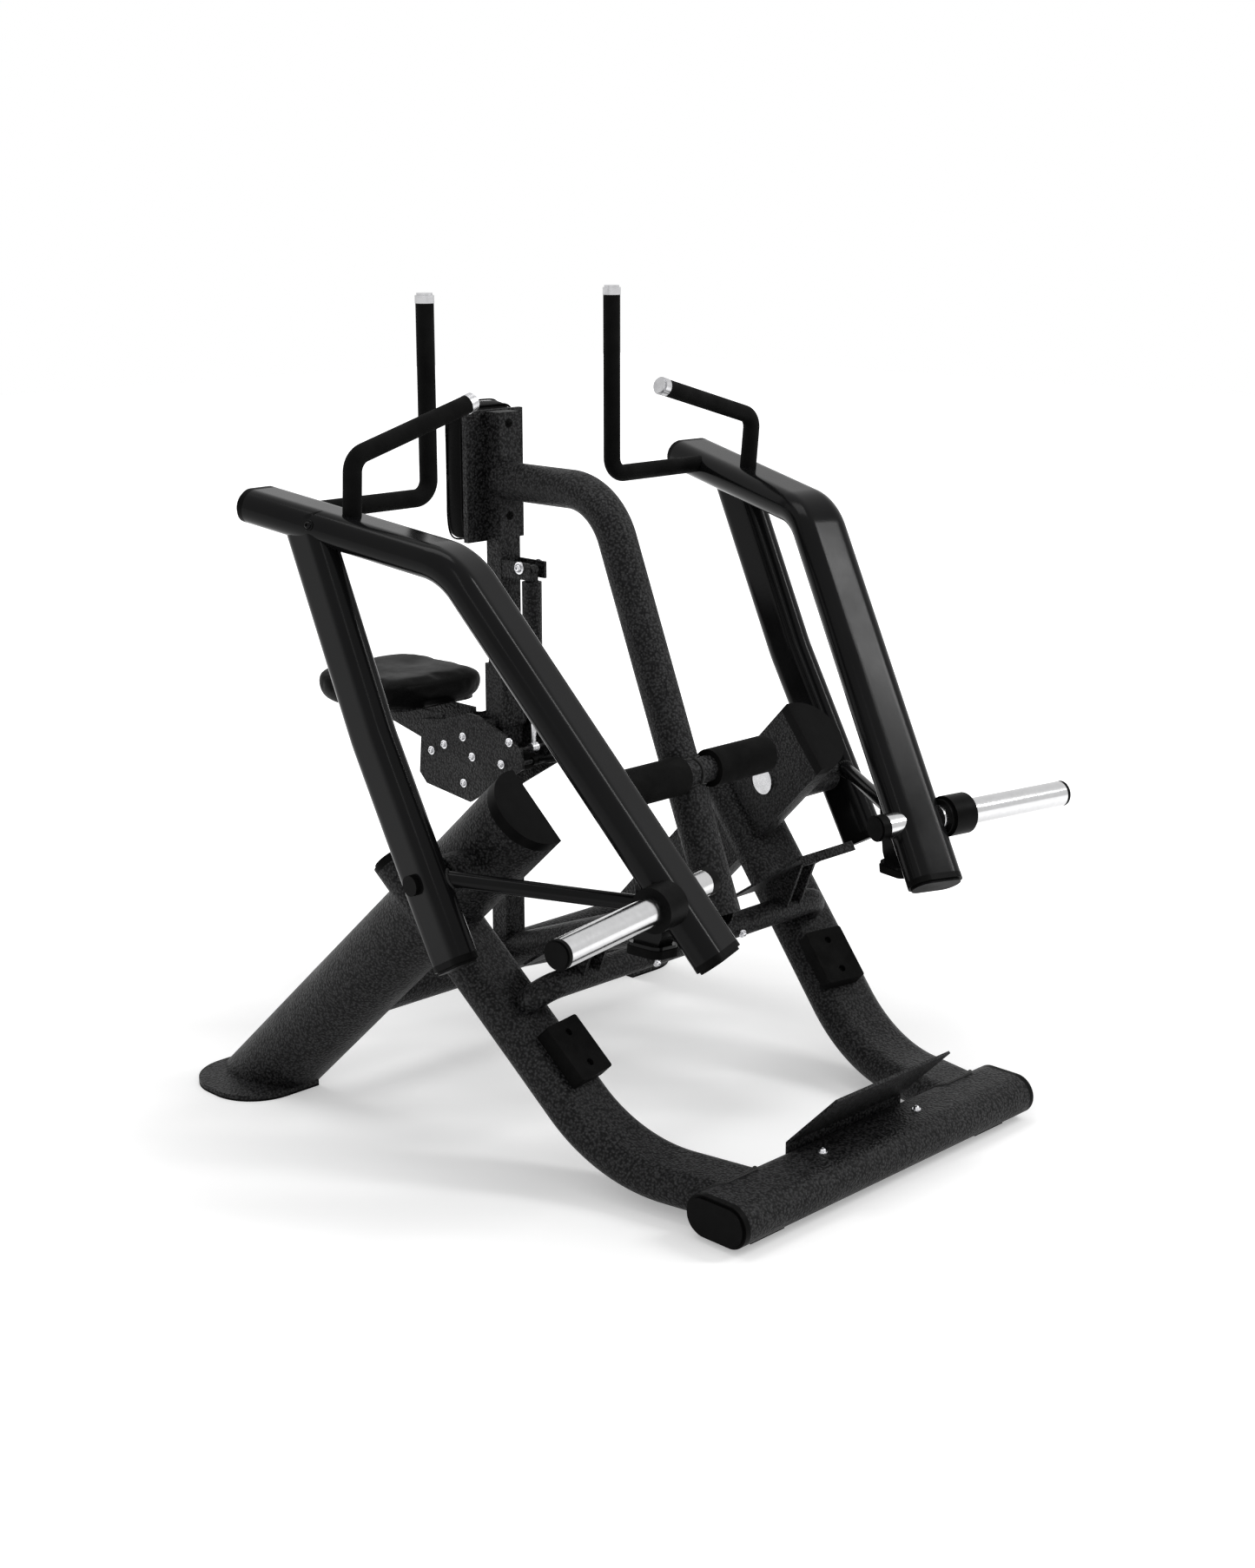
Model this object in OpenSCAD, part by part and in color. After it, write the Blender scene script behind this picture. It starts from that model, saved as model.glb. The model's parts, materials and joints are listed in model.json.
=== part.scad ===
// Plate loaded rowing machine: two swinging arms, chest pad and sliding seat.
// Millimetres. X runs across the machine, Y runs from the foot end to the seat, Z is up.
// Positions are measured from the middle of the front base bar, then the whole
// machine is shifted so that its footprint is centred on the origin.

/* [Base] */
// Length of the front base bar tube
base_len = 770; // [700:5:900]
// Width of the flat oval base bar
base_w = 132; // [110:1:150]
// Height of the flat oval base bar
base_h = 75; // [60:1:75]
// Wall of every frame tube
wall = 3; // [2:0.5:5]
// Height of the rubber feet under the base bar
foot_h = 8; // [5:1:15]
// Length of one rubber foot
foot_len = 84; // [50:1:120]
// Distance from the middle to the centre of a rubber foot
foot_x = 306; // [250:1:330]
// Length of a plastic tube cap outside its tube
cap_len = 16; // [8:1:30]

/* [Front legs] */
// Width of the flat oval front leg
leg_w = 134; // [110:1:150]
// Thickness of the flat oval front leg
leg_t = 66; // [56:1:72]
// Distance from the middle to the leg at the base bar
leg_x = 292; // [285:1:300]
// Turn of the leg away from straight back, in degrees
leg_yaw = 10.5; // [8:0.5:11]
// Rise of the leg above level, in degrees
leg_rise = 45; // [43:0.5:48]
// Level run of the leg to its bend corner
leg_run = 281; // [260:1:300]
// Radius of the leg bend
leg_bend = 300; // [200:5:340]
// Length of the leg above its bend corner
leg_up = 652; // [640:1:700]

/* [Rear legs] */
// Width of the flat side of the rear leg
rear_w = 152; // [140:1:170]
// Thickness of the rear leg from flat side to crown
rear_d = 90; // [84:1:100]
// Distance from the middle to the flat side at the floor
rear_foot_x = 441; // [430:1:460]
// Distance back to the rear leg at the floor
rear_foot_y = 1117; // [1090:1:1140]
// Distance from the middle to the flat side at the top
rear_top_x = 351; // [345:1:360]
// Distance back to the rear leg at the top
rear_top_y = 466; // [450:1:480]
// Height of the rear leg at the top
rear_top_z = 649; // [640:1:665]
// Thickness of the rear foot plate
plate_t = 8; // [5:1:12]
// Thickness of the rubber under the rear foot plate
pad_under = 4; // [3:0.5:8]

/* [Post and mast] */
// Distance back to the seat post
post_y = 932; // [915:1:950]
// Width of the seat post
post_w = 50; // [40:1:60]
// Depth of the seat post
post_d = 40; // [36:1:50]
// Height of the top of the seat post
post_top = 1262; // [1240:1:1290]
// Diameter of the bent mast tube
mast_d = 72; // [60:1:80]
// Height of the level run of the mast
mast_top_z = 1132; // [1110:1:1150]
// Distance back to the upper corner of the mast
mast_corner_y = 655; // [640:1:670]
// Distance back to the foot of the mast
mast_foot_y = 356; // [345:1:365]
// Height of the foot of the mast
mast_foot_z = 395; // [385:1:410]
// Diameter of the cross tube behind the legs
rear_cross_d = 76; // [60:1:80]
// Height of the cross tube behind the legs
rear_cross_z = 184; // [175:1:200]

/* [Foot rest] */
// Diameter of the bent foot bar
bar_d = 48; // [40:1:50]
// Distance back to the foot bar
bar_y = 437; // [430:1:445]
// Height of the foot bar
bar_z = 327; // [320:1:335]
// Half length of the foot bar
bar_half = 372; // [365:1:380]
// Width of one foot plate
tread_w = 150; // [120:1:170]
// Length of one foot plate
tread_l = 210; // [180:1:230]
// Slope of the foot plates, in degrees
tread_tilt = 34; // [28:1:40]
// Distance from the middle to the centre of a foot plate
tread_x = 270; // [240:1:280]

/* [Pads] */
// Width of the chest pad
pad_w = 150; // [130:1:190]
// Height of the chest pad
pad_h = 272; // [240:1:300]
// Thickness of the chest pad
pad_t = 74; // [60:1:90]
// Height of the middle of the chest pad
pad_z = 1146; // [1135:1:1160]
// Width of the seat pad
seat_w = 310; // [280:1:340]
// Depth of the seat pad
seat_l = 290; // [260:1:320]
// Thickness of the seat pad at its middle
seat_t = 58; // [45:1:70]
// Distance back to the middle of the seat pad
seat_y = 1252; // [1240:1:1270]
// Height of the underside of the seat pad
seat_z = 668; // [660:1:680]

/* [Knee rollers] */
// Distance back to the roller bar
roller_y = 428; // [420:1:436]
// Height of the roller bar
roller_z = 650; // [640:1:660]
// Outside diameter of a roller sleeve
roller_d = 70; // [60:1:90]
// Length of a roller sleeve
roller_len = 150; // [120:1:155]
// Play between a turning piece and its pin
play = 0.05; // [0.02:0.01:0.1]

/* [Arms] */
// Distance back to the arm pivots
pivot_y = 540; // [530:1:550]
// Height of the arm pivots
pivot_z = 537; // [528:1:546]
// Width of the flat oval front arm tube
arm_w = 110; // [90:1:120]
// Thickness of the flat oval front arm tube
arm_t = 60; // [50:1:66]
// Half spacing of the arms at their upper ends
arm_top_x = 546; // [535:1:556]
// Distance back to the upper end of an arm
arm_top_y = 950; // [940:1:960]
// Height of the upper end of an arm
arm_top_z = 1135; // [1125:1:1145]
// Half spacing of the arms at their bend
arm_bend_x = 453; // [445:1:461]
// Distance back to the arm bend
arm_bend_y = 541; // [533:1:549]
// Height of the arm bend
arm_bend_z = 1066; // [1058:1:1074]
// Half spacing of the arms at their lower ends
arm_low_x = 293; // [285:1:301]
// Distance back to the lower end of an arm
arm_low_y = 103; // [95:1:111]
// Height of the lower end of an arm
arm_low_z = 455; // [447:1:463]
// Radius of the arm bend
arm_bend_r = 110; // [90:1:120]
// Half spacing of the rear arm tubes
back_x = 540; // [534:1:546]
// Width of the rear arm tube
back_w = 96; // [80:1:105]
// Thickness of the rear arm tube
back_t = 54; // [46:1:60]
// Diameter of the brace rod
brace_d = 28; // [20:1:34]

/* [Weight horns] */
// Diameter of a weight horn
horn_d = 49; // [40:0.5:50]
// Distance from the middle to the end of a weight horn
horn_tip_x = 668; // [660:1:720]
// Diameter of the horn collar
collar_d = 77; // [66:1:90]
// Length of the horn collar
collar_len = 58; // [40:1:60]

/* [Grips] */
// Diameter of the bent grip bars
grip_d = 28; // [22:1:30]
// Thickness of the rubber grip sleeve
grip_wall = 2.5; // [2:0.5:5]
// Half spacing of the tall grips
tall_x = 234; // [225:1:250]
// Length of a tall grip above its corner
tall_len = 344; // [300:1:380]
// Half spacing of the inner ends of the side grips
side_x = 251; // [240:1:262]
// Rise of a side grip from its corner to its end
side_rise = 72; // [60:1:80]
// Length of a bright end cap
bright_len = 18; // [12:1:30]

/* [Hidden] */
$fn = 48;

frame_black = [0.09, 0.09, 0.09];
arm_black = [0.06, 0.06, 0.065];
rubber_black = [0.03, 0.03, 0.03];
cap_black = [0.02, 0.02, 0.02];
vinyl_black = [0.05, 0.05, 0.05];
bright = [0.8, 0.8, 0.82];

// gap between two pieces that lie on each other but don't touch
skin = 0.3;
// joint line between the straight and the bent lengths of a tube
hair = 0.02;
seat_back_y = seat_y + seat_l / 2;
mid_y = (seat_back_y - base_w / 2) / 2;

// ---- working shapes -------------------------------------------------------

module in_place() { translate([0, -mid_y, 0]) children(); }

module on_side(side) {
    in_place() if (side < 0) mirror([1, 0, 0]) children(); else children();
}

module both_sides() {
    on_side(1) children();
    on_side(-1) children();
}

// child with its Z axis laid from p to q; its Y axis stays level
module along(p, q) {
    v = q - p;
    translate(p) rotate([0, acos(v.z / norm(v)), atan2(v.y, v.x)]) children();
}

module rod(p, q, d) { along(p, q) cylinder(d = d, h = norm(q - p)); }

// flat oval outline, wide along Y
module flat_oval(wide, thick) {
    square([thick, wide - thick], center = true);
    for (s = [-1, 1]) translate([0, s * (wide - thick) / 2]) circle(d = thick);
}

module oval_ring(wide, thick) {
    difference() {
        flat_oval(wide, thick);
        flat_oval(wide - 2 * wall, thick - 2 * wall);
    }
}

// rectangle with rounded corners
module soft_corners(w, l, corner) {
    square([w, l - 2 * corner], center = true);
    square([w - 2 * corner, l], center = true);
    for (x = [-1, 1], y = [-1, 1]) translate([x * (w / 2 - corner), y * (l / 2 - corner)]) circle(r = corner);
}

// D outline: flat side on the X axis, crown towards +Y
module d_outline(chord, deep) {
    r = chord / 2;
    translate([-r, 0]) square([chord, deep - r]);
    translate([0, deep - r]) intersection() {
        circle(r = r, $fn = 96);
        translate([-r, -0.01]) square([chord, r + 1]);
    }
}

// Tube a-v-b with one bend of radius r at corner v. The 2D child is the
// section, with X across the plane of the bend and Y in it. The straight
// lengths stop a hair short of the bend.
module bent(a, v, b, r) {
    first = norm(v - a);
    second = norm(b - v);
    e1 = (v - a) / first;
    d2 = (b - v) / second;
    turn = acos(e1 * d2);
    e3 = cross(e1, d2) / norm(cross(e1, d2));
    e2 = cross(e3, e1);
    cut = r * tan(turn / 2);
    run = first - cut;
    multmatrix([[e1.x, e2.x, e3.x, a.x], [e1.y, e2.y, e3.y, a.y], [e1.z, e2.z, e3.z, a.z], [0, 0, 0, 1]]) {
        rotate([0, 90, 0]) linear_extrude(run - hair) children();
        translate([run, r, 0]) rotate([0, 0, -90])
            rotate_extrude(angle = turn) translate([r, 0]) mirror([1, 1]) children();
        translate([run, r, 0]) rotate([0, 0, turn]) translate([hair, -r, 0])
            rotate([0, 90, 0]) linear_extrude(second - cut - hair) children();
    }
}

// ---- places worked out from the sizes -------------------------------------

base_z = foot_h + base_h / 2;
yaw_dir = [sin(leg_yaw), cos(leg_yaw), 0];
leg_dir = cos(leg_rise) * yaw_dir + [0, 0, sin(leg_rise)];
leg_start = [leg_x, 0, foot_h + base_h - 0.5 - leg_t / 2];
leg_corner = leg_start + yaw_dir * leg_run;
leg_end = leg_corner + leg_dir * leg_up;
// leg facing up and forward
leg_up_dir = [-sin(leg_rise) * yaw_dir.x, -sin(leg_rise) * yaw_dir.y, cos(leg_rise)];
function on_leg(y) = leg_corner + leg_dir * ((y - leg_corner.y) / leg_dir.y);

rear_floor = pad_under + plate_t;
rear_top = [rear_top_x, rear_top_y, rear_top_z];
rear_dir = (rear_top - [rear_foot_x, rear_foot_y, rear_floor])
    / norm(rear_top - [rear_foot_x, rear_foot_y, rear_floor]);
rear_start = [rear_foot_x, rear_foot_y, rear_floor] - rear_dir * rear_w;
rear_cap = 22;
rear_end = rear_top - rear_dir * rear_cap;
function on_rear(y) = rear_top + rear_dir * ((y - rear_top.y) / rear_dir.y);
// level direction out of the flat side of a rear leg
rear_out = [-rear_dir.y, rear_dir.x, 0] / norm([rear_dir.x, rear_dir.y]);

mast_foot = [0, mast_foot_y, mast_foot_z];
mast_corner = [0, mast_corner_y, mast_top_z];
mast_dir = (mast_corner - mast_foot) / norm(mast_corner - mast_foot);

arm_top = [arm_top_x, arm_top_y, arm_top_z];
arm_bend = [arm_bend_x, arm_bend_y, arm_bend_z];
arm_low = [arm_low_x, arm_low_y, arm_low_z];
top_dir = (arm_bend - arm_top) / norm(arm_bend - arm_top);
low_dir = (arm_low - arm_bend) / norm(arm_low - arm_bend);
function on_top(y) = arm_top + top_dir * ((y - arm_top.y) / top_dir.y);
function on_low(z) = arm_bend + low_dir * ((z - arm_bend.z) / low_dir.z);
arm_roll = 8;

back_high = [back_x, 834, 1120];
back_corner = [back_x, pivot_y + 128, pivot_z + 228];
back_low = [back_x, pivot_y - 70, pivot_z - 121];

horn_z = 551;
horn_dir = [0.984, -0.177, -0.008];
horn_mid = on_low(horn_z) - [0, 24, 0];
function on_horn(x) = horn_mid + horn_dir * ((x - horn_mid.x) / horn_dir.x);
collar_out_x = 415;
// the full diameter starts a little outside the collar
full_horn_x = 421;
horn_neck_d = horn_d - 1;

tall_y = 872;
tall_corner = [tall_x, tall_y, on_top(tall_y).z + 6];
side_y = 758;
side_base = [on_top(side_y).x, side_y, on_top(side_y).z];
side_corner = side_base + [2, -10, 128];
side_tip = [side_x, side_corner.y - 3, side_corner.z + side_rise];
grip_bend = 32;

// ---- frame ----------------------------------------------------------------

module base_solid(grow = 0) {
    translate([0, 0, base_z]) rotate([0, 90, 0])
        linear_extrude(base_len, center = true) flat_oval(base_w + grow, base_h + grow);
}

module base_bar() {
    color(frame_black) in_place() translate([0, 0, base_z]) rotate([0, 90, 0])
        linear_extrude(base_len, center = true) oval_ring(base_w, base_h);
}

module oval_cap(wide, thick) {
    rim = 5;
    linear_extrude(cap_len - rim) flat_oval(wide, thick);
    translate([0, 0, cap_len - rim]) linear_extrude(rim) flat_oval(wide - 2 * rim, thick - 2 * rim);
    translate([0, 0, -20]) linear_extrude(20)
        flat_oval(wide - 2 * wall - 0.4, thick - 2 * wall - 0.4);
}

module base_caps() {
    color(cap_black) both_sides()
        translate([base_len / 2, 0, base_z]) rotate([0, 90, 0]) oval_cap(base_w, base_h);
}

module rubber_feet() {
    color(rubber_black) both_sides() {
        translate([foot_x - foot_len / 2, -base_w / 4, 0]) cube([foot_len, base_w / 2, foot_h]);
        rear_foot_outline(0, pad_under);
    }
}

module rear_foot_outline(low, high) {
    inner = rear_foot_x - 12;
    front = rear_foot_y - 110;
    back = rear_foot_y + 108;
    corner = 95;
    straight = 75;
    translate([inner, front, low]) cube([straight, back - front, high - low]);
    translate([inner + straight / 2, front + corner, low])
        cube([straight / 2 + corner, back - front - 2 * corner, high - low]);
    for (y = [front + corner, back - corner])
        translate([inner + straight, y, low]) cylinder(r = corner, h = high - low);
}

module rear_foot_plates() {
    color(frame_black) both_sides() rear_foot_outline(pad_under, rear_floor);
}

module front_leg_path() { bent(leg_start, leg_corner, leg_end, leg_bend) children(); }

module leg_section(inside = 0) { rotate(90) flat_oval(leg_w - 2 * inside, leg_t - 2 * inside); }

module front_leg(side) {
    color(frame_black) on_side(side) difference() {
        front_leg_path() difference() {
            leg_section();
            leg_section(wall);
        }
        base_solid();
        rear_leg_solid();
        beyond_rear_leg();
    }
}

module front_leg_left() { front_leg(-1); }
module front_leg_right() { front_leg(1); }

module front_leg_caps() {
    color(cap_black) both_sides() difference() {
        along(leg_end, leg_end + leg_dir) oval_cap(leg_w, leg_t);
        rear_leg_solid();
    }
}

module rear_leg_solid() {
    along(rear_start, rear_end) linear_extrude(norm(rear_end - rear_start)) d_outline(rear_w, rear_d);
}

// what lies past the crown of a rear leg
module beyond_rear_leg() {
    along(rear_start, rear_end) linear_extrude(norm(rear_end - rear_start))
        translate([-rear_w / 2, rear_d - 0.5]) square([rear_w, rear_w]);
}

module rear_leg(side) {
    color(frame_black) on_side(side) difference() {
        along(rear_start, rear_end) linear_extrude(norm(rear_end - rear_start)) difference() {
            d_outline(rear_w, rear_d);
            translate([0, wall]) d_outline(rear_w - 2 * wall, rear_d - 2 * wall);
        }
        translate([0, rear_foot_y - 250, rear_floor - 500]) cube([1000, 1000, 500]);
    }
}

module rear_leg_left() { rear_leg(-1); }
module rear_leg_right() { rear_leg(1); }

module rear_leg_caps() {
    color(cap_black) both_sides() along(rear_end, rear_top) {
        linear_extrude(rear_cap) d_outline(rear_w, rear_d);
        translate([0, wall + 0.2, -20]) linear_extrude(20)
            d_outline(rear_w - 2 * wall - 0.4, rear_d - 2 * wall - 0.4);
    }
}

// bent bar that the foot plates sit on; its ends turn down into the front legs
bar_bend = 46;
bar_corner = [bar_half, bar_y, bar_z];
bar_in = [0.1, 0.713, -0.701];

module foot_bar() {
    color(frame_black) in_place() difference() {
        for (s = [0, 1]) mirror([s, 0, 0])
            bent([0, bar_y, bar_z], bar_corner, bar_corner + bar_in * 95, bar_bend) difference() {
                circle(d = bar_d);
                circle(d = bar_d - 2 * wall);
            }
        for (s = [0, 1]) mirror([s, 0, 0]) front_leg_path() leg_section();
    }
}

tread_t = 5;
tread_mid = [tread_x, bar_y - 15, bar_z + bar_d / 2 + 54];

module tread_frame() { translate(tread_mid) rotate([-tread_tilt, 0, 0]) children(); }

module foot_plates() {
    color(frame_black) both_sides() {
        tread_frame() {
            translate([-tread_w / 2, -tread_l / 2, 0]) cube([tread_w, tread_l, tread_t]);
            translate([-tread_w / 2, -tread_l / 2, -14]) cube([tread_w, 4, 14]);
        }
        difference() {
            for (x = [-22, 16]) translate([tread_x + x, 0, 0]) rotate([90, 0, 90]) linear_extrude(6)
                polygon([[bar_y - 18, bar_z], [bar_y + 18, bar_z],
                    [tread_mid.y + 45, tread_mid.z - 45 * tan(tread_tilt)],
                    [tread_mid.y - 45, tread_mid.z + 45 * tan(tread_tilt)]]);
            translate([0, bar_y, bar_z]) rotate([0, 90, 0]) cylinder(d = bar_d, h = 1000);
            tread_frame() translate([-200, -200, 0]) cube([400, 400, 200]);
        }
    }
}

// bent plate on the base bar that stops the feet
guard_t = 5;
guard_half = 155;
guard_back = base_w / 2 - 5;

module toe_guard() {
    color(frame_black) in_place() difference() {
        translate([-guard_half, 0, foot_h + base_h]) rotate([90, 0, 90]) linear_extrude(2 * guard_half)
            polygon([[guard_back, -30], [guard_back, 8], [guard_back - 108, 118],
                [guard_back - 111.5, 114.5], [guard_back - guard_t, 6], [guard_back - guard_t, -30]]);
        base_solid();
    }
}

module domed_bolt(d, h) {
    cylinder(d = d * 1.35, h = h * 0.35);
    cylinder(d = d, h = h);
}

// facing of the bumper block on the front leg
block_y = 412;
block_in = 16;
block_at = on_leg(block_y) + leg_up_dir * (leg_t / 2);
block_w = 86;
block_l = 112;
block_h = 30;

module block_frame() {
    along(block_at, block_at + leg_up_dir) rotate(90) translate([-block_in, 0, 0]) children();
}

module bumper_blocks() {
    color(rubber_black) both_sides() block_frame() difference() {
        linear_extrude(block_h) soft_corners(block_w, block_l, 5);
        for (y = [-1, 1]) translate([0, y * 32, block_h - 10]) cylinder(d = 14, h = 20);
    }
}

module frame_bolts() {
    color(bright) {
        both_sides() {
            translate([129, 0, foot_h + base_h]) domed_bolt(14, 9);
            block_frame() for (y = [-1, 1]) translate([0, y * 32, block_h - 10]) domed_bolt(9, 5);
        }
        in_place() {
            for (z = [pad_z + 95, pad_z - 80]) translate([0, post_y - post_d / 2, z]) rotate([90, 0, 0]) domed_bolt(14, 9);
            for (x = [-115, 115]) translate([x, bar_y - bar_d / 2, bar_z - 6]) rotate([100, 0, 0]) domed_bolt(12, 9);
        }
    }
}

module rear_cross_tube() {
    a = on_rear(post_y);
    color(frame_black) in_place() difference() {
        translate([0, post_y, rear_cross_z]) rotate([0, 90, 0])
            cylinder(d = rear_cross_d, h = 2 * a.x + 100, center = true);
        translate([0, post_y, rear_cross_z]) rotate([0, 90, 0])
            cylinder(d = rear_cross_d - 2 * wall, h = 2 * a.x + 102, center = true);
        for (s = [0, 1]) mirror([s, 0, 0]) rear_leg_solid();
    }
}

spine_d = 70;
spine_low = [0, post_y, rear_cross_z];
spine_high = mast_foot + mast_dir * 10;

module spine_tube() {
    color(frame_black) in_place() difference() {
        rod(spine_low, spine_high, spine_d);
        rod(spine_low, spine_high + (spine_high - spine_low), spine_d - 2 * wall);
        translate([0, post_y, rear_cross_z]) rotate([0, 90, 0]) cylinder(d = rear_cross_d, h = 400, center = true);
        mast_path() circle(d = mast_d);
        post_solid();
        across(-bar_half, bar_half, [bar_y, bar_z], bar_d);
    }
}

mast_bend = 130;
module mast_path() {
    bent([0, post_y, mast_top_z], mast_corner, mast_foot, mast_bend) children();
}

module mast_tube() {
    color(frame_black) in_place() difference() {
        mast_path() difference() {
            circle(d = mast_d);
            circle(d = mast_d - 2 * wall);
        }
        post_solid();
        translate([0, roller_y, roller_z]) rotate([0, 90, 0]) cylinder(d = bar_d, h = 400, center = true);
        translate([0, bar_y, bar_z]) rotate([0, 90, 0]) cylinder(d = bar_d, h = 400, center = true);
    }
}

module post_solid() {
    translate([-post_w / 2, post_y - post_d / 2, rear_cross_z]) cube([post_w, post_d, post_top - rear_cross_z]);
}

module seat_post() {
    color(frame_black) in_place() difference() {
        post_solid();
        translate([-post_w / 2 + wall, post_y - post_d / 2 + wall, rear_cross_z - 1])
            cube([post_w - 2 * wall, post_d - 2 * wall, post_top - rear_cross_z - wall + 1]);
        translate([0, post_y, rear_cross_z]) rotate([0, 90, 0]) cylinder(d = rear_cross_d, h = 400, center = true);
    }
}

board_t = 12;
module post_fittings() {
    color(frame_black) in_place() {
        // board of the chest pad
        translate([-pad_w / 2 + 3, post_y + post_d / 2, pad_z - pad_h / 2 + 6])
            cube([pad_w - 6, board_t, pad_h - 24]);
        // ears that hold the head of the gas spring
        for (x = [-24, 18]) translate([x, spring_y - 16, spring_top - 16])
            cube([6, post_y - post_d / 2 - spring_y + 16, 32]);
    }
}

// Crowned cushion on z = 0: rings of a rounded outline, each at its own share
// of the thickness, with sides that draw in between the corners and a top
// that is dished along its middle.
rings = [[0.9, 0], [0.965, 0.05], [0.995, 0.2], [1, 0.42], [0.985, 0.64], [0.93, 0.82],
    [0.82, 0.92], [0.64, 0.965], [0.42, 0.985], [0.2, 1]];
around = 48;

function rounded(a, power) = sign(a) * pow(abs(a), 2 / power);

function ring_point(w, l, t, ring, angle, power, draw, dish) =
    let (u = rounded(cos(angle), power), v = rounded(sin(angle), power), s = ring[0])
    [s * u * (w / 2 - draw * (1 - v * v)), s * v * (l / 2 - draw * (1 - u * u)),
     t * ring[1] - dish * ring[1] * (1 - pow(s * u, 2)) * (1 - pow(s * v, 2))];

module cushion(w, l, t, power, draw, dish) {
    last = len(rings) - 1;
    points = concat([[0, 0, 0]],
        [for (ring = rings, i = [0 : around - 1])
            ring_point(w, l, t, ring, 360 * (i + 0.5) / around, power, draw, dish)],
        [[0, 0, t - dish]]);
    top = len(points) - 1;
    faces = concat(
        [for (i = [0 : around - 1]) [0, 1 + i, 1 + (i + 1) % around]],
        [for (k = [0 : last - 1], i = [0 : around - 1])
            let (a = 1 + k * around + i, b = 1 + k * around + (i + 1) % around) [a, a + around, b]],
        [for (k = [0 : last - 1], i = [0 : around - 1])
            let (a = 1 + k * around + i, b = 1 + k * around + (i + 1) % around) [b, a + around, b + around]],
        [for (i = [0 : around - 1])
            [1 + last * around + i, top, 1 + last * around + (i + 1) % around]]);
    polyhedron(points, faces);
}

module chest_pad() {
    color(vinyl_black) in_place()
        translate([0, post_y + post_d / 2 + board_t, pad_z]) rotate([-90, 0, 0])
            cushion(pad_w, pad_h, pad_t, 6, 2, 1);
}

module seat_pad() {
    color(vinyl_black) in_place() translate([0, seat_y, seat_z])
        cushion(seat_w, seat_l, seat_t, 3.6, 5, 5);
}

roller_in = mast_d / 2 + 3;

module roller_bar() {
    color(frame_black) in_place() translate([0, roller_y, roller_z]) rotate([0, 90, 0])
        cylinder(d = bar_d, h = 2 * (roller_in + roller_len + 8), center = true);
}

module roller(side) {
    color(rubber_black) on_side(side) translate([roller_in, roller_y, roller_z]) rotate([0, 90, 0])
        difference() {
            cylinder(d = roller_d, h = roller_len);
            translate([0, 0, -1]) cylinder(d = bar_d + 2 * play, h = roller_len + 2);
        }
}

module roller_left() { roller(-1); }
module roller_right() { roller(1); }

badge_d = 56;
module badge_discs() {
    at = on_rear(pivot_y + 44);
    color(bright) both_sides() along([at.x, at.y, pivot_z], [at.x, at.y, pivot_z] - rear_out)
        cylinder(d = badge_d, h = 3);
}

// ---- arm pivots -----------------------------------------------------------

pin_d = 30;
housing_d = 76;
housing_in = on_rear(pivot_y).x + 12;
housing_out = back_x - back_t / 2 - 6;
pin_in = housing_in + 82;

module pivot_line(x0, x1, d) {
    translate([x0, pivot_y, pivot_z]) rotate([0, 90, 0]) cylinder(d = d, h = x1 - x0);
}

module pivot_housings() {
    color(frame_black) both_sides() difference() {
        pivot_line(housing_in, housing_out, housing_d);
        pivot_line(housing_in - 1, housing_out + 1, pin_d + 2 * play);
        rear_leg_solid();
    }
}

module pivot_pin(side) {
    color(cap_black) on_side(side) {
        pivot_line(pin_in, back_x + back_t / 2, pin_d);
        pivot_line(housing_out + 0.5, back_x - back_t / 2, pin_d + 20);
        pivot_line(back_x + back_t / 2, back_x + back_t / 2 + 9, pin_d + 6);
    }
}

module pivot_pin_left() { pivot_pin(-1); }
module pivot_pin_right() { pivot_pin(1); }

// ---- arms -----------------------------------------------------------------

module front_tube_path() { bent(arm_top, arm_bend, arm_low, arm_bend_r) children(); }
module arm_outline(inside = 0) { rotate(90 + arm_roll) flat_oval(arm_w - 2 * inside, arm_t - 2 * inside); }

module front_tube(side) {
    color(arm_black) on_side(side) difference() {
        front_tube_path() difference() {
            arm_outline();
            arm_outline(wall);
        }
        horn_solid();
    }
}

module front_tube_left() { front_tube(-1); }
module front_tube_right() { front_tube(1); }

module rear_tube_path() { bent(back_high, back_corner, back_low, 300) children(); }

module rear_tube(side) {
    color(arm_black) on_side(side) difference() {
        rear_tube_path() difference() {
            flat_oval(back_w, back_t);
            flat_oval(back_w - 2 * wall, back_t - 2 * wall);
        }
        front_tube_path() arm_outline();
        pivot_line(pin_in, back_x + back_t, pin_d);
    }
}

module rear_tube_left() { rear_tube(-1); }
module rear_tube_right() { rear_tube(1); }

// frame on the end of a bent tube, turned like the tube's own section
module end_frame(at, dir, e2) {
    e3 = cross(dir, e2);
    multmatrix([[-e3.x, e2.x, dir.x, at.x], [-e3.y, e2.y, dir.y, at.y], [-e3.z, e2.z, dir.z, at.z], [0, 0, 0, 1]])
        children();
}

arm_normal = cross(top_dir, low_dir) / norm(cross(top_dir, low_dir));

module tube_caps(side) {
    color(cap_black) on_side(side) {
        end_frame(arm_top, -top_dir, cross(arm_normal, top_dir))
            rotate(90 - arm_roll) oval_cap(arm_w, arm_t);
        end_frame(arm_low, low_dir, cross(arm_normal, low_dir))
            rotate(90 + arm_roll) oval_cap(arm_w, arm_t);
        along(back_low, back_low + (back_low - back_corner)) rotate(90) oval_cap(back_w, back_t);
    }
}

module tube_caps_left() { tube_caps(-1); }
module tube_caps_right() { tube_caps(1); }

// rod between the two tubes of an arm, below the horn
module brace_solid() { rod([back_x - 6, 520, 548], on_low(524), brace_d); }

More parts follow.
